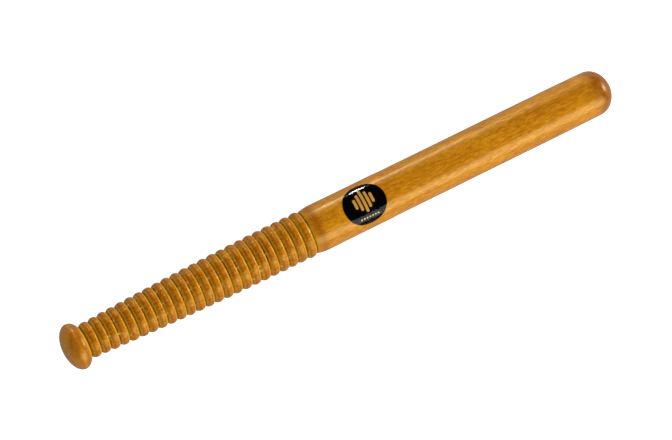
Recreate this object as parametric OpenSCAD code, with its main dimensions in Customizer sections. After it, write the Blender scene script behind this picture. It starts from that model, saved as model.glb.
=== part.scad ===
// Guiro beater: one solid hardwood stick turned on a lathe, with a mushroom knob, a ribbed tapering
// grip that is scraped, a smooth round-ended barrel, and a round label wrapped on the barrel.
// Millimetres. The stick lies along X, from the knob at -X to the round end at +X. Z = 0 is the
// surface that it lies on, and the label faces +Z.

/* [Stick] */
// Length from the knob's tip to the round end
overall_length = 317; // [300:0.1:340]
// Diameter of the barrel where it is straight
barrel_d = 24.5; // [24:0.1:27]

/* [Knob] */
// Diameter of the knob
knob_d = 24.9; // [22:0.1:27]

/* [Ribs] */
// Number of ribs on the grip
rib_count = 24; // [20:1:24]
// Distance from one rib to the next
rib_pitch = 5.3; // [4.8:0.05:5.3]
// Depth of the grooves below the ribs
rib_depth = 1.45; // [0.8:0.05:1.5]
// Distance from the knob's tip to the first rib: the knob fills what is left before the first groove
first_rib_x = 14.9; // [14:0.1:16]
// Diameter over the first rib, next to the knob
first_rib_d = 19.1; // [18:0.1:21]
// Diameter over the last rib, next to the shoulder
last_rib_d = 24.9; // [24:0.1:24.9]

/* [Shoulder] */
// Diameter at the fullest place of the shoulder
shoulder_d = 25; // [25:0.1:27]
// Length over which the shoulder rises out of the last groove
shoulder_rise = 8; // [4:0.5:9]
// Length over which the shoulder eases down to the label's seat, as far as there is room before the label
shoulder_ease = 11; // [6:0.5:20]

/* [Round end] */
// Depth of the domed end
dome_depth = 10.2; // [8:0.1:13]
// Diameter where the dome starts
dome_d = 24.1; // [23:0.1:24.1]
// Length over which the barrel eases down to the dome
nose_ease = 34; // [20:1:40]

/* [Label] */
// Diameter of the label, measured flat
label_d = 23.3; // [22:0.1:23.6]
// Distance from the knob's tip to the middle of the label
label_x = 170.7; // [170.7:0.1:180]
// Diameter of the barrel under the label
seat_d = 24.8; // [24.6:0.05:25.2]
// Thickness of the adhesive layer
adhesive_t = 0.05; // [0.03:0.01:0.1]
// Thickness of the black printed film
film_t = 0.1; // [0.05:0.01:0.2]
// Thickness of the gold foil
foil_t = 0.04; // [0.03:0.01:0.06]
// Thickness of the clear laminate over the film
laminate_t = 0.12; // [0.1:0.01:0.2]

/* [Label emblem] */
// Length of the tallest bar, across the stick
bar_long = 12.6; // [10:0.1:13]
// Share of the length that each bar loses against the one nearer the middle
bar_step = 0.28; // [0.1:0.01:0.35]
// Width of a bar
bar_w = 1.5; // [1:0.1:1.8]
// Distance from one bar to the next
bar_pitch = 2.35; // [2.2:0.05:2.4]
// How far the bars' middle lies above the label's middle
bar_rise = 1.6; // [1:0.1:2]
// Number of dots in the row under the bars
dot_count = 7; // [3:2:7]
// Diameter of a dot
dot_d = 0.9; // [0.6:0.1:1.2]
// Distance from one dot to the next
dot_pitch = 1.6; // [1.3:0.1:1.6]
// How far the row of dots lies below the label's middle
dot_drop = 7.4; // [7:0.1:7.6]

/* [Hidden] */

round_fn = 96;              // sides of the turned solid's circles
dot_fn = 24;                // sides of a small round outline
knob_steps = 24;            // straight steps along the knob's outline
rib_steps = 8;              // straight steps along one rib's outline
ease_steps = 8;             // straight steps along a shoulder or nose curve
dome_steps = 14;            // straight steps along the dome's outline
seat_margin = 0.6;          // plain barrel on each side of the label
seat_blend = 3.5;           // length over which the seat steps down to the straight barrel
bar_count = 5;              // bars in the emblem
grip_power = 2.1;           // power of the curve by which the ribs taper towards the knob
seam_turn = 3;              // turn of the lathe's seam, so that its mesh rests on a flat and not on an edge

barrel_r = barrel_d / 2;
knob_r = knob_d / 2;
shoulder_r = shoulder_d / 2;
dome_r = dome_d / 2;
seat_r = seat_d / 2;
label_r = label_d / 2;
axis_z = max(shoulder_r, knob_r, barrel_r);     // the fullest place of the stick touches Z = 0
last_rib_x = first_rib_x + (rib_count - 1) * rib_pitch;
bead_r = (rib_pitch * rib_pitch / 4 + rib_depth * rib_depth) / (2 * rib_depth);
neck_x = first_rib_x - rib_pitch / 2;
last_groove_x = last_rib_x + rib_pitch / 2;
shoulder_x = last_groove_x + shoulder_rise;
ease_length = min(shoulder_ease, label_x - label_r - seat_margin - shoulder_x);
seat_end_x = label_x + label_r + seat_margin;
nose_x = overall_length - dome_depth - nose_ease;
dome_x = overall_length - dome_depth;
film_r = seat_r + adhesive_t;
foil_r = film_r + film_t;
label_top_r = foil_r + laminate_t;

// Radius over the ribs: a curve, steep at the knob and level at the shoulder
function rib_left(x) = (last_rib_x - x) / (last_rib_x - first_rib_x);
function crest_r(x) = last_rib_d / 2 - (last_rib_d - first_rib_d) / 2 * pow(max(rib_left(x), 0), grip_power);

// How far a rib's round bead has dropped at a distance from its crest
function bead_drop(d) = bead_r - sqrt(bead_r * bead_r - d * d);

// Smooth step from 0 to 1
function smooth(s) = (1 - cos(180 * s)) / 2;

// The stick's outline, as [distance from the knob's tip, radius], piece by piece
neck_r = crest_r(neck_x) - rib_depth;
knob_end = asin(neck_r / knob_r);
knob_half = neck_x / (1 + cos(knob_end));
knob_outline = [for (i = [0:knob_steps]) let (a = 180 - i * (180 - knob_end) / knob_steps)
    [knob_half + knob_half * cos(a), knob_r * sin(a)]];
rib_outline = [for (n = [0:rib_count - 1], i = [0:rib_steps - 1])
    let (d = (i / rib_steps - 0.5) * rib_pitch, x = first_rib_x + n * rib_pitch + d)
    [x, crest_r(x) - bead_drop(d)]];
groove_r = last_rib_d / 2 - rib_depth;
shoulder_outline = [for (i = [0:ease_steps]) let (a = i * 90 / ease_steps)
    [last_groove_x + shoulder_rise * (1 - cos(a)), groove_r + (shoulder_r - groove_r) * sin(a)]];
seat_outline = [for (i = [1:ease_steps]) let (s = i / ease_steps)
    [shoulder_x + ease_length * s, shoulder_r + (seat_r - shoulder_r) * smooth(s)]];
nose_outline = [for (i = [0:ease_steps]) let (s = i / ease_steps)
    [nose_x + nose_ease * s, barrel_r + (dome_r - barrel_r) * s * s]];
dome_outline = [for (i = [1:dome_steps]) let (a = i * 90 / dome_steps)
    [dome_x + dome_depth * sin(a), i == dome_steps ? 0 : dome_r * cos(a)]];

// Lays what is modelled from the knob's tip, round the X axis, on the surface that it rests on
module place() {
    translate([-overall_length / 2, 0, axis_z])
        children();
}

// Turns an outline of [x, radius] points round the X axis
module turned(outline) {
    rotate([0, 90, 0])
        rotate([0, 0, seam_turn])
            rotate_extrude($fn = round_fn)
                polygon([for (p = outline) [p[1], p[0]]]);
}

// A point of the flat label, [along, across] from its middle, as it lies on the barrel seen from above
function wrap(p) = [label_x + p[0], seat_r * sin(p[1] / seat_r * 180 / PI)];

// Outline of a slot with round ends, wrapped: its middle, its width along and its length across
module wrapped_slot(mid, width, length) {
    straight = (length - width) / 2;
    polygon([for (i = [0:dot_fn]) let (a = i * 360 / dot_fn, side = i <= dot_fn / 2 ? 1 : -1)
        wrap([mid[0] + width / 2 * cos(a), mid[1] + side * straight + width / 2 * sin(a)])]);
}

// A layer of the label: an outline seen from above, between two radii of the barrel
module layer(inner_r, thickness) {
    intersection() {
        linear_extrude(height = label_top_r + 1)
            children();
        translate([label_x - label_r - 1, 0, 0])
            rotate([0, 90, 0])
                difference() {
                    cylinder(r = inner_r + thickness, h = label_d + 2, $fn = round_fn);
                    translate([0, 0, -1])
                        cylinder(r = inner_r, h = label_d + 4, $fn = round_fn);
                }
    }
}

module label_outline() {
    polygon([for (a = [0:5:355]) wrap([label_r * cos(a), label_r * sin(a)])]);
}

module bar_outlines() {
    for (i = [0:bar_count - 1]) {
        off_middle = i - (bar_count - 1) / 2;
        bar_length = bar_long * (1 - bar_step * abs(off_middle));
        wrapped_slot([off_middle * bar_pitch, bar_rise], bar_w, bar_length);
    }
}

module dot_outlines() {
    for (i = [0:dot_count - 1])
        wrapped_slot([(i - (dot_count - 1) / 2) * dot_pitch, -dot_drop], dot_d, dot_d);
}

// The whole stick is one turned piece of hardwood
module stick() {
    color("#c07a16")
        place()
            turned(concat(knob_outline, rib_outline, shoulder_outline, seat_outline,
                [[seat_end_x, seat_r], [seat_end_x + seat_blend, barrel_r]],
                nose_outline, dome_outline));
}

// Pressure-sensitive adhesive under the label
module label_adhesive() {
    color("#d9d2bd")
        place()
            layer(seat_r, adhesive_t)
                label_outline();
}

// Black printed film
module label_film() {
    color("#101010")
        place()
            layer(film_r, film_t)
                label_outline();
}

// Gold foil emblem: five upright bars, like a level meter
module label_emblem() {
    color("#c9963c")
        place()
            layer(foil_r, foil_t)
                bar_outlines();
}

// Gold foil dots in a row under the emblem
module label_dots() {
    color("#e6c98a")
        place()
            layer(foil_r, foil_t)
                dot_outlines();
}

// Clear laminate over the film, with room for the foil under it
module label_laminate() {
    color("#ffffff", 0.3)
        place()
            difference() {
                layer(foil_r, laminate_t)
                    label_outline();
                layer(foil_r, foil_t) {
                    bar_outlines();
                    dot_outlines();
                }
            }
}

stick();
label_adhesive();
label_film();
label_emblem();
label_dots();
label_laminate();
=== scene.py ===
import math

import bpy
import numpy as np
from mathutils import Matrix, Vector


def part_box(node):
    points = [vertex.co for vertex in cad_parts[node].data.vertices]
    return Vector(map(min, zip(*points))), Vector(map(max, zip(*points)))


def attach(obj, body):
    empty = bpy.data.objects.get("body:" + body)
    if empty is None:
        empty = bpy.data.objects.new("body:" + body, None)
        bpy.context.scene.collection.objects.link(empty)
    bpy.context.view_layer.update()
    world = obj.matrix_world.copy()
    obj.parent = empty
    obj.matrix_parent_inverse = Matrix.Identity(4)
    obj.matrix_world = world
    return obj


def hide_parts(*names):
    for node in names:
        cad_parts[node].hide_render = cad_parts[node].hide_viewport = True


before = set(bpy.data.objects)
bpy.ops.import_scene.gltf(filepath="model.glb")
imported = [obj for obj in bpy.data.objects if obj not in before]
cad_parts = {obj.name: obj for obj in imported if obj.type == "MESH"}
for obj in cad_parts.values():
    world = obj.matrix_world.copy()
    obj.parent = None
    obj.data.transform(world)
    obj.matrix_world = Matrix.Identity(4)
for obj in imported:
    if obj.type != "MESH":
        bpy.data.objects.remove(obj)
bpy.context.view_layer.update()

MM = 0.001

# ---------------------------------------------------------------- the frame
# The stick lies along X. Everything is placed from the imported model's boxes.
stick_low, stick_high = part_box("stick")
film_low, film_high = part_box("label_film")
LENGTH = stick_high[0] - stick_low[0]
TIP_X = stick_low[0]
AXIS_Z = (stick_low[2] + stick_high[2]) / 2
LABEL_X = (film_low[0] + film_high[0]) / 2
LABEL_R = (film_high[0] - film_low[0]) / 2

# The turned outline: the same driving sizes as the CAD model's
KNOB_R = 12.45 * MM
RIB_COUNT = 24
RIB_PITCH = 5.3 * MM
RIB_DEPTH = 1.45 * MM
FIRST_RIB = 14.9 * MM
FIRST_RIB_R = 9.55 * MM
LAST_RIB_R = 12.45 * MM
GRIP_POWER = 2.1
SHOULDER_R = (stick_high[2] - stick_low[2]) / 2
SHOULDER_RISE = 8 * MM
SHOULDER_EASE = 11 * MM
SEAT_R = 12.4 * MM
SEAT_MARGIN = 0.6 * MM
SEAT_BLEND = 3.5 * MM
BARREL_R = 12.25 * MM
NOSE_EASE = 34 * MM
DOME_R = 12.05 * MM
DOME_DEPTH = 10.2 * MM

# Thickness of the label's layers, which are stacked on the barrel's seat
ADHESIVE_T = 0.05 * MM
FILM_T = 0.1 * MM
FOIL_T = 0.04 * MM
LAMINATE_T = 0.12 * MM
FILM_TOP = ADHESIVE_T + FILM_T
FOIL_TOP = FILM_TOP + FOIL_T
LABEL_TOP = FILM_TOP + LAMINATE_T
LAMINATE_GAP = 0.002 * MM       # keeps the laminate's underside off the film's face
RIM_ROUNDING = 0.06 * MM        # how much thinner the laminate is at its rim
RIM_START = 0.72                # share of the radius at which it starts to thin

# The label's emblem and its row of dots, measured flat from the label's middle
BAR_COUNT = 5
BAR_PITCH = 2.35 * MM
BAR_W = 1.5 * MM
BAR_LONG = 12.6 * MM            # the tallest bar, in the middle
BAR_STEP = 0.28                 # share of that length that each bar loses against the one nearer the middle
BAR_RISE = 1.6 * MM
DOT_COUNT = 7
DOT_PITCH = 1.6 * MM
DOT_R = 0.45 * MM
DOT_DROP = 7.4 * MM

# ---------------------------------------------------------------- mesh helpers
SEGMENTS = 144                  # points round the stick, and round the label's rim
KNOB_STEPS = 44
SHOULDER_STEPS = 18
EASE_STEPS = 12
SEAT_STEPS = 11
BARREL_STEPS = 36
NOSE_STEPS = 13
DOME_STEPS = 26
PAD_STEPS = 16                  # rings of a label layer, and steps along each side and end of a bar
DOT_SEGMENTS = 24
CRISP_ANGLE = math.radians(40)

# Marks on the wood, from 0 to 1 at each point, for the wood's material to read. Besides the ribs themselves,
# they carry painted shade in the grooves, painted light on the left flanks, a painted dark reflection over
# the crests, a painted highlight on the right edges, and pale crumbs with painted glints
MARKS = ("rib", "groove", "flank", "crest", "edge", "crumb")
END_MARKS = ("end_grain", "nose")

TOOL_TIP = 0.3 * MM             # half width of the tool's tip, which cuts and chips the grooves, and of the painted shade in the knob's and the shoulder's grooves
GROOVE_SHADE_WIDTH = 0.22 * MM           # half width of the painted shade line in a groove
TOO_DEEP = 0.28 * MM            # how much deeper than the nominal depth a groove is cut, on average
SHALLOWEST = 0.5 * RIB_DEPTH
CHIP_AT = 0.55 * MM             # from a groove's middle to the chips beside it
# where pale crumbs with painted glints lie beside a groove's middle, and how wide
CRUMB_GLINT_AT = 0.34 * MM
CRUMB_GLINT_WIDTH = 0.38 * MM
BROW = 1.2 * MM                 # from a rib's left groove to where its painted flank light ends and its painted dark crest starts
BROW_BLEND = 0.4 * MM
CREST_AT = 0.55 * MM            # from there to the darkest part of the painted dark reflection on the crest
CREST_WIDTH = 0.65 * MM
EDGE_AT = 0.9 * MM              # from a rib's right groove to its painted yellow highlight
EDGE_WIDTH = 0.3 * MM
# where the painted highlight lies on the knob, from its neck, and how wide
KNOB_EDGE_AT = 1.1 * MM
KNOB_EDGE_WIDTH = 0.5 * MM
NOSE_DARK = 15 * MM             # length of the darker nose, darker end grain with painted shade, with the stretch over which it sets in
NOSE_BLEND = 6 * MM

angles = np.arange(SEGMENTS) * 2 * math.pi / SEGMENTS
rng = np.random.default_rng(7)


def bell(away, width):
    """1 where away is 0, falling off smoothly over about `width` on both sides."""
    return np.exp(-((away / width) ** 2))


def waviness(harmonics, size):
    """A smooth wandering round the stick's angle, about `size` either way."""
    total = np.zeros(SEGMENTS)
    for k in range(1, harmonics + 1):
        total += rng.normal() / k * np.sin(k * angles + rng.uniform(0, 2 * math.pi))
    return size * total


def bumps(count, size_low, size_high, width_low, width_high):
    """Bumps at random angles, each a bell with a random height and a random half width in radians."""
    total = np.zeros(SEGMENTS)
    for _ in range(count):
        away = angles - rng.uniform(0, 2 * math.pi)
        away = (away + math.pi) % (2 * math.pi) - math.pi
        total += rng.uniform(size_low, size_high) * bell(away, rng.uniform(width_low, width_high))
    return total


def ring_faces(first, second, count):
    """Quads between two rings of points, by the number of each ring's first point."""
    return [(first + k, second + k, second + (k + 1) % count, first + (k + 1) % count) for k in range(count)]


def add_piece(name, vertices, faces, material, slot, replaces, crisp=False):
    """A smooth piece that stands for some CAD nodes. A crisp one keeps its sharp edges sharp."""
    mesh = bpy.data.meshes.new(name)
    mesh.from_pydata(vertices, [], faces)
    mesh.validate()
    mesh.polygons.foreach_set("use_smooth", [True] * len(mesh.polygons))
    if crisp:
        mesh.set_sharp_from_angle(angle=CRISP_ANGLE)
    mesh.materials.append(material)
    piece = bpy.data.objects.new(name, mesh)
    bpy.context.scene.collection.objects.link(piece)
    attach(piece, "root")
    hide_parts(*replaces)
    return piece


# ---------------------------------------------------------------- shader helpers
class Shader:
    """A new material, with short calls for its nodes."""

    def __init__(self, name):
        self.material = bpy.data.materials.new(name)
        self.material.use_nodes = True
        self.tree = self.material.node_tree
        self.tree.nodes.clear()

    def node(self, kind, settings=None, **inputs):
        made = self.tree.nodes.new("ShaderNode" + kind)
        for key, value in (settings or {}).items():
            setattr(made, key, value)
        for key, value in inputs.items():
            self.feed(made.inputs[key.replace("_", " ")], value)
        return made

    def feed(self, socket, value):
        if isinstance(value, bpy.types.NodeSocket):
            self.tree.links.new(value, socket)
        else:
            socket.default_value = value

    def math(self, operation, *values):
        made = self.tree.nodes.new("ShaderNodeMath")
        made.operation = operation
        for socket, value in zip(made.inputs, values):
            self.feed(socket, value)
        return made.outputs[0]

    def mix(self, amount, a, b):
        made = self.tree.nodes.new("ShaderNodeMix")
        made.data_type = "RGBA"
        self.feed(made.inputs[0], amount)
        self.feed(made.inputs[6], a)
        self.feed(made.inputs[7], b)
        return made.outputs[2]

    def tint(self, colour, where, amount, towards):
        """A colour pulled towards another by up to `amount`, where `where` is 1."""
        return self.mix(self.math("MULTIPLY", where, amount), colour, (*towards, 1))

    def ramp(self, value, stops, colours=False):
        """A ramp from a value to a grey or, with colours, a colour. Stops are (position, grey or colour)."""
        made = self.tree.nodes.new("ShaderNodeValToRGB")
        elements = made.color_ramp.elements
        while len(elements) < len(stops):
            elements.new(0.5)
        for element, (position, tone) in zip(elements, stops):
            element.position = position
            element.color = (*tone, 1) if colours else (tone, tone, tone, 1)
        self.feed(made.inputs[0], value)
        return made.outputs[0]

    def stretched(self, size, place=(0, 0, 0)):
        """The object's own coordinates, divided by a size in metres along each axis."""
        where = self.node("TexCoord").outputs["Object"]
        scale = tuple(1 / s for s in size)
        made = self.node("Mapping", {"vector_type": "POINT"}, Vector=where, Scale=scale, Location=place)
        return made.outputs[0]

    def noise(self, size, detail, roughness=0.5, distortion=0.0, place=(0, 0, 0)):
        """Noise from 0 to 1 whose blotches are about `size` metres along each axis."""
        made = self.node(
            "TexNoise",
            {"noise_dimensions": "3D"},
            Vector=self.stretched(size, place),
            Scale=1.0,
            Detail=detail,
            Roughness=roughness,
            Distortion=distortion,
        )
        return made.outputs["Fac"]

    def finish(self, surface):
        output = self.node("OutputMaterial")
        self.tree.links.new(surface, output.inputs["Surface"])
        return self.material


# ---------------------------------------------------------------- materials
WHITE = (1, 1, 1, 1)
WOOD_TONES = [
    (0.36, (0.36, 0.102, 0.0010)),
    (0.50, (0.48, 0.165, 0.0014)),
    (0.60, (0.57, 0.215, 0.0024)),
    (0.74, (0.69, 0.300, 0.0060)),
]
DARK_FLECK = (0.34, 0.116, 0.0012)
LIGHT_FLECK = (0.78, 0.38, 0.022)
PORE = (0.15, 0.055, 0.002)
END_STAIN = (0.36, 0.084, 0.0012)
NOSE_STAIN_AND_SHADE = (0.20, 0.038, 0.0012)
RIB_STAIN = (0.41, 0.108, 0.0010)
CREST_DARK_REFLECTION = (0.24, 0.056, 0.0008)
FLANK_LIGHT = (0.43, 0.245, 0.008)
EDGE_HIGHLIGHT = (1.0, 0.56, 0.045)
GROOVE_SHADE = (0.040, 0.020, 0.001)
CRUMB_AND_GLINT = (0.98, 0.68, 0.24)
RIB_DARK_FLECK = (0.17, 0.050, 0.0010)
RIB_LIGHT_FLECK = (0.78, 0.36, 0.020)
LACQUER_TINT = (1.0, 0.70, 0.06, 1)


def wood_colour(s, marks, mottle):
    """Stained wood: streaks, flecks and pores, then stain, pale crumbs and painted light and shade on ribs
    and ends.
    Each tint's number is the share of its colour where its mark is 1."""
    streaks = s.noise((14 * MM, 0.9 * MM, 0.9 * MM), detail=4, roughness=0.6)
    patches = s.noise((34 * MM, 9 * MM, 9 * MM), detail=2, place=(9, 4, 2))
    tone = s.math("MULTIPLY_ADD", mottle, 0.35, s.math("MULTIPLY", patches, 0.35))
    tone = s.math("MULTIPLY_ADD", streaks, 0.40, tone)
    colour = s.ramp(tone, WOOD_TONES, colours=True)

    fleck_size = (3.2 * MM, 0.8 * MM, 0.8 * MM)
    flecks = s.noise(fleck_size, detail=3, roughness=0.65, distortion=0.3, place=(5, 5, 5))
    fleck_dark = s.ramp(flecks, [(0.36, 1.0), (0.50, 0.0)])
    fleck_light = s.ramp(flecks, [(0.50, 0.0), (0.64, 1.0)])
    pores = s.noise((1.7 * MM, 0.42 * MM, 0.42 * MM), detail=1, place=(1, 8, 3))
    colour = s.tint(colour, fleck_dark, 0.62, DARK_FLECK)
    colour = s.tint(colour, fleck_light, 0.50, LIGHT_FLECK)
    colour = s.tint(colour, s.ramp(pores, [(0.27, 1.0), (0.35, 0.0)]), 0.5, PORE)

    # the knob's and the round end's end grain take up more stain; it fades at their very tips, which is
    # painted light
    stain_and_lit_tips = s.ramp(marks["end_grain"], [(0.0, 0.1), (0.35, 0.75), (0.80, 0.35), (1.0, 0.0)])
    colour = s.tint(colour, stain_and_lit_tips, 1.0, END_STAIN)

    # a rib gets a painted dark reflection over its crest, a painted yellow highlight on its right edge,
    # and painted light, dull and greenish, on its left flank
    # painted reflection: the crests' dark band, patchy with the mottle
    crest_reflection_patches = s.ramp(mottle, [(0.35, 0.65), (0.65, 1.0)])
    colour = s.tint(colour, marks["rib"], 0.45, RIB_STAIN)
    colour = s.tint(colour, s.math("MULTIPLY", marks["crest"], crest_reflection_patches), 0.88, CREST_DARK_REFLECTION)
    colour = s.tint(colour, marks["flank"], 0.76, FLANK_LIGHT)
    # painted highlight: a yellow line along each rib's right edge
    colour = s.tint(colour, marks["edge"], 0.60, EDGE_HIGHLIGHT)
    # painted shade: a dark line at the bottom of each groove
    colour = s.tint(colour, marks["groove"], 0.92, GROOVE_SHADE)
    # pale crumbs, partly painted glints
    colour = s.tint(colour, marks["crumb"], 1.0, CRUMB_AND_GLINT)
    colour = s.tint(colour, s.math("MULTIPLY", fleck_dark, marks["rib"]), 0.34, RIB_DARK_FLECK)
    colour = s.tint(colour, s.math("MULTIPLY", fleck_light, marks["rib"]), 0.26, RIB_LIGHT_FLECK)

    # the round end is the darkest, with spots in it: darker end grain with spotty figure, and painted shade
    figure = s.noise((3 * MM, 3.4 * MM, 3.4 * MM), detail=3, roughness=0.6, place=(4, 6, 1))
    spots = s.ramp(figure, [(0.40, 1.0), (0.56, 0.55)])
    return s.tint(colour, s.math("MULTIPLY", marks["nose"], spots), 0.72, NOSE_STAIN_AND_SHADE)


def wood_material():
    """Golden brown hardwood under clear satin lacquer, which is thin on the ribs and the ends."""
    s = Shader("lacquered_wood")
    marks = {}
    for name in MARKS + END_MARKS:
        marks[name] = s.node("Attribute", {"attribute_name": name}).outputs["Fac"]
    mottle_size = (5 * MM, 2.2 * MM, 2.2 * MM)
    mottle = s.noise(mottle_size, detail=3, roughness=0.55, distortion=0.4, place=(3, 1, 7))
    fine = s.noise((4 * MM, 0.4 * MM, 0.4 * MM), detail=3, roughness=0.6, place=(2, 2, 9))
    bump = s.node("Bump", Strength=0.35, Distance=0.12 * MM, Height=fine).outputs[0]
    thin = s.math("MAXIMUM", marks["rib"], s.ramp(marks["end_grain"], [(0.5, 0.0), (0.9, 1.0)]))
    wood = s.node(
        "BsdfPrincipled",
        Base_Color=wood_colour(s, marks, mottle),
        Roughness=s.math("MULTIPLY_ADD", mottle, 0.15, 0.24),
        Normal=bump,
        IOR=1.6,
        Specular_IOR_Level=1.0,
        Specular_Tint=LACQUER_TINT,
        Coat_Weight=s.math("SUBTRACT", 0.9, s.math("MULTIPLY", thin, 0.6)),
        Coat_Roughness=0.24,
        Coat_IOR=1.5,
    )
    return s.finish(wood.outputs[0])


def black_film_material():
    """Black printed film: its gloss comes from the laminate over it."""
    s = Shader("label_black")
    grain = s.noise((0.3 * MM, 0.3 * MM, 0.3 * MM), detail=2)
    tone = s.ramp(grain, [(0.3, (0.0004, 0.0004, 0.0004)), (0.7, (0.0009, 0.0009, 0.001))], colours=True)
    film = s.node("BsdfPrincipled", Base_Color=tone, Roughness=0.5, Specular_IOR_Level=0.0)
    return s.finish(film.outputs[0])


def foil_material(name, low, high):
    """Satin foil, brushed along the stick, between two colours."""
    s = Shader(name)
    brushed = s.noise((3 * MM, 0.25 * MM, 0.25 * MM), detail=3, roughness=0.6)
    tone = s.ramp(brushed, [(0.3, low), (0.7, high)], colours=True)
    foil = s.node("BsdfPrincipled", Base_Color=tone, Roughness=0.5, Specular_IOR_Level=0.3)
    return s.finish(foil.outputs[0])


def adhesive_material():
    """Pale translucent glue, which only shows at the label's rim."""
    s = Shader("label_adhesive")
    cloud = s.noise((0.8 * MM, 0.8 * MM, 0.8 * MM), detail=2)
    tone = s.ramp(cloud, [(0.3, (0.62, 0.56, 0.42)), (0.7, (0.74, 0.68, 0.54))], colours=True)
    glue = s.node("BsdfPrincipled", Base_Color=tone, Roughness=0.55)
    return s.finish(glue.outputs[0])


def laminate_material():
    """Clear gloss film: a sharp reflection over what lies beneath."""
    s = Shader("label_clear")
    orange_peel = s.noise((1.4 * MM, 1.4 * MM, 1.4 * MM), detail=1)
    bump = s.node("Bump", Strength=0.015, Distance=0.05 * MM, Height=orange_peel).outputs[0]
    inside = s.node("NewGeometry").outputs["Backfacing"]
    facing = s.node("Fresnel", IOR=1.45, Normal=bump).outputs[0]
    facing = s.math("MULTIPLY", facing, s.math("SUBTRACT", 1.0, inside))
    clear = s.node("BsdfTransparent", Color=WHITE).outputs[0]
    gloss = s.node("BsdfGlossy", Color=WHITE, Roughness=0.05, Normal=bump).outputs[0]
    mixed = s.node("MixShader")
    s.feed(mixed.inputs[0], facing)
    s.feed(mixed.inputs[1], clear)
    s.feed(mixed.inputs[2], gloss)
    return s.finish(mixed.outputs[0])


# ---------------------------------------------------------------- the stick
def crest(x):
    """Radius over the ribs at a distance from the knob's tip: steep at the knob, level at the shoulder."""
    ribbed = (RIB_COUNT - 1) * RIB_PITCH
    left = np.clip((FIRST_RIB + ribbed - x) / ribbed, 0, None)
    return LAST_RIB_R - (LAST_RIB_R - FIRST_RIB_R) * left**GRIP_POWER


def bead_drop(d):
    """How far a rib's round bead has dropped at a distance from its crest."""
    bead_r = (RIB_PITCH**2 / 4 + RIB_DEPTH**2) / (2 * RIB_DEPTH)
    return bead_r - np.sqrt(bead_r**2 - d**2)


class Lathe:
    """Rows of points round the stick. Each has a distance from the knob's tip, a radius and surface marks,
    and any of them may be one number or one value for each angle."""

    def __init__(self):
        self.x, self.r = [], []
        self.marks = {name: [] for name in MARKS}

    def row(self, x, r, **marks):
        flat = np.ones(SEGMENTS)
        self.x.append(x * flat)
        self.r.append(r * flat)
        for name in MARKS:
            self.marks[name].append(np.clip(marks.get(name, 0.0) * flat, 0, 1))


def turn_knob(lathe, neck_x, neck_r):
    """The knob: a round cap as far as the neck, where the first groove starts."""
    end = math.asin(neck_r / KNOB_R)
    half = neck_x / (1 + math.cos(end))
    for i in range(1, KNOB_STEPS + 1):
        a = math.pi - i * (math.pi - end) / KNOB_STEPS
        x = half * (1 + math.cos(a))
        left = neck_x - x
        # painted shade in the neck's groove, and a painted highlight beside it
        edge = bell(left - KNOB_EDGE_AT, KNOB_EDGE_WIDTH)
        lathe.row(x, KNOB_R * math.sin(a), groove=bell(left, TOOL_TIP), edge=edge)


def wandering_grooves():
    """The grooves on both sides of every rib: where each lies, how far past the nominal depth the tool cut
    (cut), how dark the painted shade at its bottom is (ink), where it was left shallow (pool) and where pale
    crumbs with painted glints lie (crumb)."""
    grooves = []
    for j in range(RIB_COUNT + 1):
        nominal = FIRST_RIB + (j - 0.5) * RIB_PITCH
        grooves.append(
            {
                "x": nominal + rng.normal() * 0.10 * MM + waviness(4, 0.035 * MM),
                "cut": TOO_DEEP * np.clip(1 + waviness(6, 0.35), 0.2, 2),
                "shade_strength": np.clip(0.6 + waviness(5, 0.35), 0.05, 1),
                "pool": bumps(rng.integers(2, 6), 0.15 * MM, 0.5 * MM, 0.04, 0.16),
                "crumb": bumps(rng.integers(2, 9), 0.5, 1.2, 0.015, 0.05),
            }
        )
    return grooves


def turn_ribs(lathe):
    """The ribs, each between two grooves that wander a little, as a hand-held tool leaves them.
    Gives back the last groove."""
    grooves = wandering_grooves()
    near = [0, 0.02, 0.045, 0.075, 0.11, 0.155, 0.21, 0.28, 0.36, 0.45]
    steps = near + [1 - s for s in reversed(near[1:])]
    for j in range(RIB_COUNT):
        left, right = grooves[j], grooves[j + 1]
        lift = rng.normal() * 0.04 * MM
        chips = [bumps(rng.integers(2, 6), 0.05 * MM, 0.3 * MM, 0.02, 0.06) for _ in range(2)]
        brow = BROW + rng.normal() * 0.12 * MM + waviness(4, 0.08 * MM)
        for s in steps:
            x = left["x"] + s * (right["x"] - left["x"])
            d = (s - 0.5) * RIB_PITCH
            near_left = s * RIB_PITCH
            near_right = (1 - s) * RIB_PITCH
            side, away = (left, near_left) if s < 0.5 else (right, near_right)
            cut = side["cut"] * bell(away, TOOL_TIP)
            drop = bead_drop(d) + cut
            chip = chips[0 if s < 0.5 else 1] * bell(away - CHIP_AT, TOOL_TIP)
            floor = RIB_DEPTH + side["cut"] - side["pool"]
            drop = np.minimum(drop, np.maximum(floor, SHALLOWEST)) + chip - lift * (1 - abs(2 * s - 1))
            # painted on each rib: shade in its grooves, light on its left flank, a dark reflection over its
            # crest, a highlight on its right edge, and glints with the pale crumbs
            lathe.row(
                x,
                crest(x) - drop,
                rib=1.0,
                groove=side["shade_strength"] * bell(away, GROOVE_SHADE_WIDTH),
                flank=np.clip((brow - near_left) / BROW_BLEND, 0, 1),
                crest=bell(near_left - brow - CREST_AT, CREST_WIDTH),
                edge=bell(near_right - EDGE_AT, EDGE_WIDTH),
                crumb=side["crumb"] * bell(away - CRUMB_GLINT_AT, CRUMB_GLINT_WIDTH),
            )
    last = grooves[-1]
    floor = RIB_DEPTH + last["cut"] - last["pool"]
    drop = np.minimum(RIB_DEPTH + last["cut"], floor)
    lathe.row(last["x"], LAST_RIB_R - drop, rib=1.0, groove=last["shade_strength"], crumb=last["crumb"])
    return last


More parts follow.
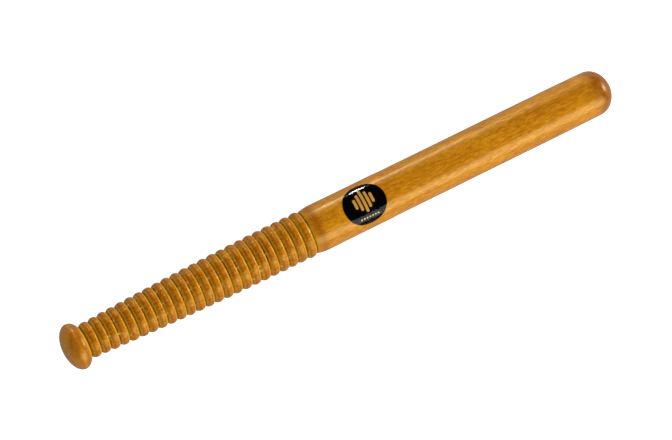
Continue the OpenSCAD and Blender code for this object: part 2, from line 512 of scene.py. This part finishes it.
def turn_shoulder(lathe, last):
    """From the last groove to the shoulder's fullest place, whose distance from the tip it gives back."""
    start = FIRST_RIB + (RIB_COUNT - 0.5) * RIB_PITCH
    groove_r = LAST_RIB_R - RIB_DEPTH
    for i in range(1, SHOULDER_STEPS + 1):
        a = i * math.pi / 2 / SHOULDER_STEPS
        s = 1 - math.cos(a)
        x = start + (last["x"] - start) * (1 - s) + SHOULDER_RISE * s
        rise = x - last["x"]
        # painted on the shoulder as on a rib: shade in the last groove, light on its flank and a darker band
        # further up
        lathe.row(
            x,
            groove_r + (SHOULDER_R - groove_r) * math.sin(a),
            rib=np.clip((3 * MM - rise) / (2 * MM), 0, 1),
            groove=last["shade_strength"] * bell(rise, TOOL_TIP),
            flank=0.8 * np.clip((2.2 * MM - rise) / (1.2 * MM), 0, 1),
            crest=0.8 * bell(rise - 4.4 * MM, 1.8 * MM),
        )
    return start + SHOULDER_RISE


def turn_barrel(lathe, full):
    """From the shoulder's fullest place: the label's seat, the straight barrel, the nose and the dome."""
    for i in range(1, EASE_STEPS + 1):
        s = i / EASE_STEPS
        smooth = (1 - math.cos(math.pi * s)) / 2
        lathe.row(full + SHOULDER_EASE * s, SHOULDER_R + (SEAT_R - SHOULDER_R) * smooth)
    seat_end = LABEL_X - TIP_X + LABEL_R + SEAT_MARGIN
    for x in np.linspace(full + SHOULDER_EASE, seat_end, SEAT_STEPS + 1)[1:]:
        lathe.row(x, SEAT_R)
    nose = LENGTH - DOME_DEPTH - NOSE_EASE
    for x in np.linspace(seat_end + SEAT_BLEND, nose, BARREL_STEPS):
        lathe.row(x, BARREL_R)
    for s in np.linspace(0, 1, NOSE_STEPS + 1)[1:]:
        lathe.row(nose + NOSE_EASE * s, BARREL_R + (DOME_R - BARREL_R) * s * s)
    dome = LENGTH - DOME_DEPTH
    for i in range(1, DOME_STEPS):
        a = i * math.pi / 2 / DOME_STEPS
        lathe.row(dome + DOME_DEPTH * math.sin(a), DOME_R * math.cos(a))


def make_stick():
    """The whole turned stick, with its surface marks (painted shade, light, reflections, highlights and
    glints among them) and the two end marks on its points.
    """
    lathe = Lathe()
    neck_x = FIRST_RIB - RIB_PITCH / 2
    turn_knob(lathe, neck_x, float(crest(neck_x)) - RIB_DEPTH)
    full = turn_shoulder(lathe, turn_ribs(lathe))
    turn_barrel(lathe, full)

    x, r = np.array(lathe.x), np.array(lathe.r)
    rows = len(x)
    y, z = r * np.cos(angles), r * np.sin(angles)
    points = np.stack([x + TIP_X, y, z + AXIS_Z], axis=-1).reshape(-1, 3)
    knob_tip, round_end = rows * SEGMENTS, rows * SEGMENTS + 1
    vertices = points.tolist() + [[TIP_X, 0, AXIS_Z], [TIP_X + LENGTH, 0, AXIS_Z]]
    faces = []
    for i in range(rows - 1):
        faces += ring_faces(i * SEGMENTS, (i + 1) * SEGMENTS, SEGMENTS)
    for k in range(SEGMENTS):
        n = (k + 1) % SEGMENTS
        faces.append((knob_tip, k, n))
        faces.append(((rows - 1) * SEGMENTS + n, (rows - 1) * SEGMENTS + k, round_end))
    piece = add_piece("turned_stick", vertices, faces, wood_material(), "lacquered_wood", ["stick"])

    run, rise = np.gradient(x, axis=0), np.gradient(r, axis=0)
    slope = np.abs(rise) / np.maximum(np.hypot(run, rise), 1e-9)
    nose = (x - LENGTH + NOSE_DARK) / NOSE_BLEND
    marks = {name: np.append(np.array(rows_of).ravel(), [0, 0]) for name, rows_of in lathe.marks.items()}
    marks["end_grain"] = np.append(np.clip(slope, 0, 1).ravel(), [1, 1])
    marks["nose"] = np.append(np.clip(nose, 0, 1).ravel(), [0, 1])
    for name, values in marks.items():
        made = piece.data.attributes.new(name, "FLOAT", "POINT")
        made.data.foreach_set("value", values.astype(np.float32))


# ---------------------------------------------------------------- the label
def wrapped(along, across, height):
    """A point of the flat label, laid on the barrel at a height over the seat, as the CAD has it."""
    y = SEAT_R * math.sin(across / SEAT_R)
    z = math.sqrt((SEAT_R + height) ** 2 - y * y)
    return (LABEL_X + along, y, AXIS_Z + z)


def pad(outline, middle, bottom, top, rings):
    """A thin wrapped solid: rings from the middle to the outline on top, straight sides, the same rings
    below. top is a function of how far out a ring is, from 0 to 1."""
    count = len(outline)
    vertices, faces = [], []
    for height_at in (top, lambda out: bottom):
        base = len(vertices)
        vertices.append(wrapped(*middle, height_at(0)))
        for out in rings:
            for p in outline:
                at = [m + (q - m) * out for m, q in zip(middle, p)]
                vertices.append(wrapped(*at, height_at(out)))
        flip = base > 0
        for k in range(count):
            n = (k + 1) % count
            face = (base, base + 1 + k, base + 1 + n)
            faces.append(face[::-1] if flip else face)
            for i in range(len(rings) - 1):
                a, b = base + 1 + i * count, base + 1 + (i + 1) * count
                face = (a + k, b + k, b + n, a + n)
                faces.append(face[::-1] if flip else face)
    rim_top = 1 + (len(rings) - 1) * count
    rim_bottom = rim_top + 1 + len(rings) * count
    for k in range(count):
        n = (k + 1) % count
        faces.append((rim_top + k, rim_bottom + k, rim_bottom + n, rim_top + n))
    return vertices, faces


def joined(parts):
    """Several pads as one."""
    vertices, faces = [], []
    for some_vertices, some_faces in parts:
        base = len(vertices)
        vertices += some_vertices
        faces += [tuple(base + v for v in face) for face in some_faces]
    return vertices, faces


def circle(radius, count, middle):
    turns = [2 * math.pi * i / count for i in range(count)]
    return [(middle[0] + radius * math.cos(a), middle[1] + radius * math.sin(a)) for a in turns]


def slot_outline(middle, width, length):
    """A slot with round ends, upright across the stick, with points all along its straight sides."""
    straight = (length - width) / 2
    radius = width / 2
    points = []
    for end in (1, -1):
        end_y = middle[1] + end * straight
        for i in range(PAD_STEPS + 1):
            a = math.pi * i / PAD_STEPS + (0 if end == 1 else math.pi)
            points.append((middle[0] + radius * math.cos(a), end_y + radius * math.sin(a)))
        for i in range(1, PAD_STEPS):
            points.append((middle[0] - end * radius, middle[1] + end * straight * (1 - 2 * i / PAD_STEPS)))
    return points


def flat(height):
    return lambda out: height


def domed(out):
    """The clear laminate's top, which falls off towards its rim."""
    fall = max(0.0, (out - RIM_START) / (1 - RIM_START)) ** 2
    return LABEL_TOP - RIM_ROUNDING * fall


def make_label():
    """The label's layers from the glue up, each a piece of its own."""
    middle = (0.0, 0.0)
    disc = circle(LABEL_R, SEGMENTS, middle)
    even = [i / PAD_STEPS for i in range(1, PAD_STEPS + 1)]
    to_rim = [0.1, 0.2, 0.3, 0.4, 0.5, 0.6, 0.68, 0.75, 0.8, 0.84, 0.88, 0.91]
    to_rim += [0.935, 0.955, 0.97, 0.982, 0.992, 1.0]

    glue = pad(disc, middle, 0.0, flat(ADHESIVE_T), even)
    add_piece("adhesive_layer", *glue, adhesive_material(), "label_adhesive", ["label_adhesive"], crisp=True)
    film = pad(disc, middle, ADHESIVE_T, flat(FILM_TOP), even)
    add_piece("black_film", *film, black_film_material(), "label_black", ["label_film"], crisp=True)

    bars = []
    for i in range(BAR_COUNT):
        off = i - (BAR_COUNT - 1) // 2
        bar_middle = (off * BAR_PITCH, BAR_RISE)
        bar = slot_outline(bar_middle, BAR_W, BAR_LONG * (1 - BAR_STEP * abs(off)))
        bars.append(pad(bar, bar_middle, FILM_TOP, flat(FOIL_TOP), even))
    gold = foil_material("label_gold", (0.44, 0.20, 0.022), (0.58, 0.30, 0.055))
    add_piece("foil_bars", *joined(bars), gold, "label_gold", ["label_emblem"], crisp=True)

    dots = []
    for i in range(DOT_COUNT):
        dot_middle = ((i - (DOT_COUNT - 1) // 2) * DOT_PITCH, -DOT_DROP)
        dot = circle(DOT_R, DOT_SEGMENTS, dot_middle)
        dots.append(pad(dot, dot_middle, FILM_TOP, flat(FOIL_TOP), [0.5, 1.0]))
    pale_gold = foil_material("label_pale_gold", (0.62, 0.46, 0.20), (0.80, 0.64, 0.34))
    add_piece("foil_dots", *joined(dots), pale_gold, "label_gold", ["label_dots"], crisp=True)

    laminate = pad(disc, middle, FILM_TOP + LAMINATE_GAP, domed, to_rim)
    add_piece("clear_laminate", *laminate, laminate_material(), "label_clear", ["label_laminate"], crisp=True)


# ---------------------------------------------------------------- camera
# How the stick lies in the picture: its slope, its tilt to the camera and the label's turn about the axis
SLOPE = math.radians(26.13)
TILT = math.radians(12.5)
TURN = math.radians(2.4)
DISTANCE = 2.5
VIEW_WIDTH = 342.9 * MM               # what the picture's width covers at the stick
SENSOR = 36
OFF_CENTRE = (2.86 * MM, 1.96 * MM)   # the aim point's place in the picture, right of and above its middle
AIM = Vector((TIP_X + 159.7 * MM, 0, AXIS_Z))

# Both are square to the stick: one towards the camera, the other towards the picture's top
across_view = Vector((0, -math.sin(TURN), math.cos(TURN)))
up_side = Vector((0, math.cos(TURN), math.sin(TURN)))
to_camera = math.cos(TILT) * across_view - math.sin(TILT) * Vector((1, 0, 0))
along = up_side.cross(to_camera).normalized()
right = math.cos(SLOPE) * along - math.sin(SLOPE) * up_side
up = math.sin(SLOPE) * along + math.cos(SLOPE) * up_side


def make_camera():
    """The photo's camera: far off, so with little perspective, and aimed beside the stick's middle."""
    data = bpy.data.cameras.new("camera")
    data.sensor_width = SENSOR
    data.lens = SENSOR * DISTANCE / VIEW_WIDTH
    data.clip_end = 100
    camera = bpy.data.objects.new("camera", data)
    bpy.context.scene.collection.objects.link(camera)
    aim = AIM - OFF_CENTRE[0] * right - OFF_CENTRE[1] * up
    turn = Matrix((right, up, to_camera)).transposed().to_4x4()
    camera.matrix_world = Matrix.Translation(aim + DISTANCE * to_camera) @ turn
    bpy.context.scene.camera = camera


# ---------------------------------------------------------------- floor, lights, world
def round_direction(angle, x_part):
    """A direction with a given X part, at an angle about the stick, which is 0 on the camera's side and grows
    towards the picture's top."""
    rest = math.sqrt(1 - x_part**2)
    return x_part * Vector((1, 0, 0)) + rest * (math.cos(angle) * across_view + math.sin(angle) * up_side)


def panel(name, angle, x_part, distance, along_x, across, radiance, x_shift=0.0, mirrored=True):
    """A rectangular softbox that faces the stick, with its long side along the stick.
    One that isn't mirrored stands for light bounced off the room: it lights the stick without a highlight."""
    data = bpy.data.lights.new(name, "AREA")
    data.shape = "RECTANGLE"
    data.size, data.size_y = along_x, across
    data.energy = radiance * math.pi * along_x * across
    light = bpy.data.objects.new(name, data)
    light.visible_glossy = mirrored
    bpy.context.scene.collection.objects.link(light)
    away = round_direction(math.radians(angle), x_part)
    side = Vector((1, 0, 0)) - away.x * away
    if side.length < 1e-3:
        side = up_side.copy()
    side.normalize()
    over = away.cross(side)
    turn = Matrix((side, over, away)).transposed().to_4x4()
    place = Vector((x_shift, 0, AXIS_Z)) + distance * away
    light.matrix_world = Matrix.Translation(place) @ turn


FLOOR_HALF = 6.0                      # half a side of the floor, in metres
WORLD_LIGHT = 0.02                    # what the world gives where the camera doesn't look straight at it


def make_floor():
    """A plain pale floor. What the stick reflects of it is kept dim, as on a shaded table."""
    mesh = bpy.data.meshes.new("floor")
    corners = [(x * FLOOR_HALF, y * FLOOR_HALF, 0) for x, y in ((-1, -1), (1, -1), (1, 1), (-1, 1))]
    mesh.from_pydata(corners, [], [(0, 1, 2, 3)])
    s = Shader("floor")
    seen = s.node("LightPath").outputs["Is Camera Ray"]
    paper = s.node(
        "BsdfPrincipled",
        Base_Color=(0.6, 0.6, 0.6, 1),
        Roughness=0.9,
        Specular_IOR_Level=0.0,
        Emission_Color=WHITE,
        Emission_Strength=0.8,
    )
    shade = s.node("BsdfDiffuse", Color=(0.28, 0.28, 0.28, 1))
    mixed = s.node("MixShader")
    s.feed(mixed.inputs[0], seen)
    s.feed(mixed.inputs[1], shade.outputs[0])
    s.feed(mixed.inputs[2], paper.outputs[0])
    mesh.materials.append(s.finish(mixed.outputs[0]))
    floor = bpy.data.objects.new("floor", mesh)
    bpy.context.scene.collection.objects.link(floor)


def make_world():
    """White where the camera sees it, but giving almost no light, so that the panels do the lighting."""
    world = bpy.data.worlds.new("world")
    world.use_nodes = True
    tree = world.node_tree
    background = tree.nodes["Background"]
    background.inputs[0].default_value = WHITE
    seen = tree.nodes.new("ShaderNodeLightPath").outputs["Is Camera Ray"]
    strength = tree.nodes.new("ShaderNodeMapRange")
    tree.links.new(seen, strength.inputs["Value"])
    strength.inputs["To Min"].default_value = WORLD_LIGHT
    strength.inputs["To Max"].default_value = 1.0
    tree.links.new(strength.outputs[0], background.inputs[1])
    bpy.context.scene.world = world


def make_lights():
    # Each: name, angle about the stick, X part, distance, size along the stick, size across it, radiance
    # mirrored in the lacquer: the thin streak along the top, the label's bright spot, the broad band along
    # the lower side, and the spots on the nose and the knob
    panel("strip", 83.5, 0.0, 1.3, 1.4, 0.26, 0.6, x_shift=-0.34)
    panel("spark", 83.5, 0.230, 1.3, 0.034, 0.22, 31)
    panel("side_box", -61, 0.1, 1.3, 2.4, 0.84, 1.4)
    panel("end_box", 0, 0.980, 1.5, 0.48, 0.50, 4.7)
    # bounced off the room: on the nose, the knob, the top and the lower side
    panel("room_nose", 0, 0.72, 1.4, 1.0, 1.4, 1.2, mirrored=False)
    panel("room_knob", 0, -0.80, 1.4, 1.0, 1.4, 1.9, mirrored=False)
    panel("room_top", 72, 0.3, 1.3, 1.2, 0.6, 6.8, mirrored=False)
    panel("room_low", -66, 0.3, 1.3, 1.2, 0.6, 7.1, mirrored=False)


make_camera()
make_floor()
make_world()
make_lights()
make_stick()
make_label()

scene = bpy.context.scene
scene.view_settings.view_transform = "Standard"
scene.view_settings.look = "None"
scene.view_settings.exposure = 0.0
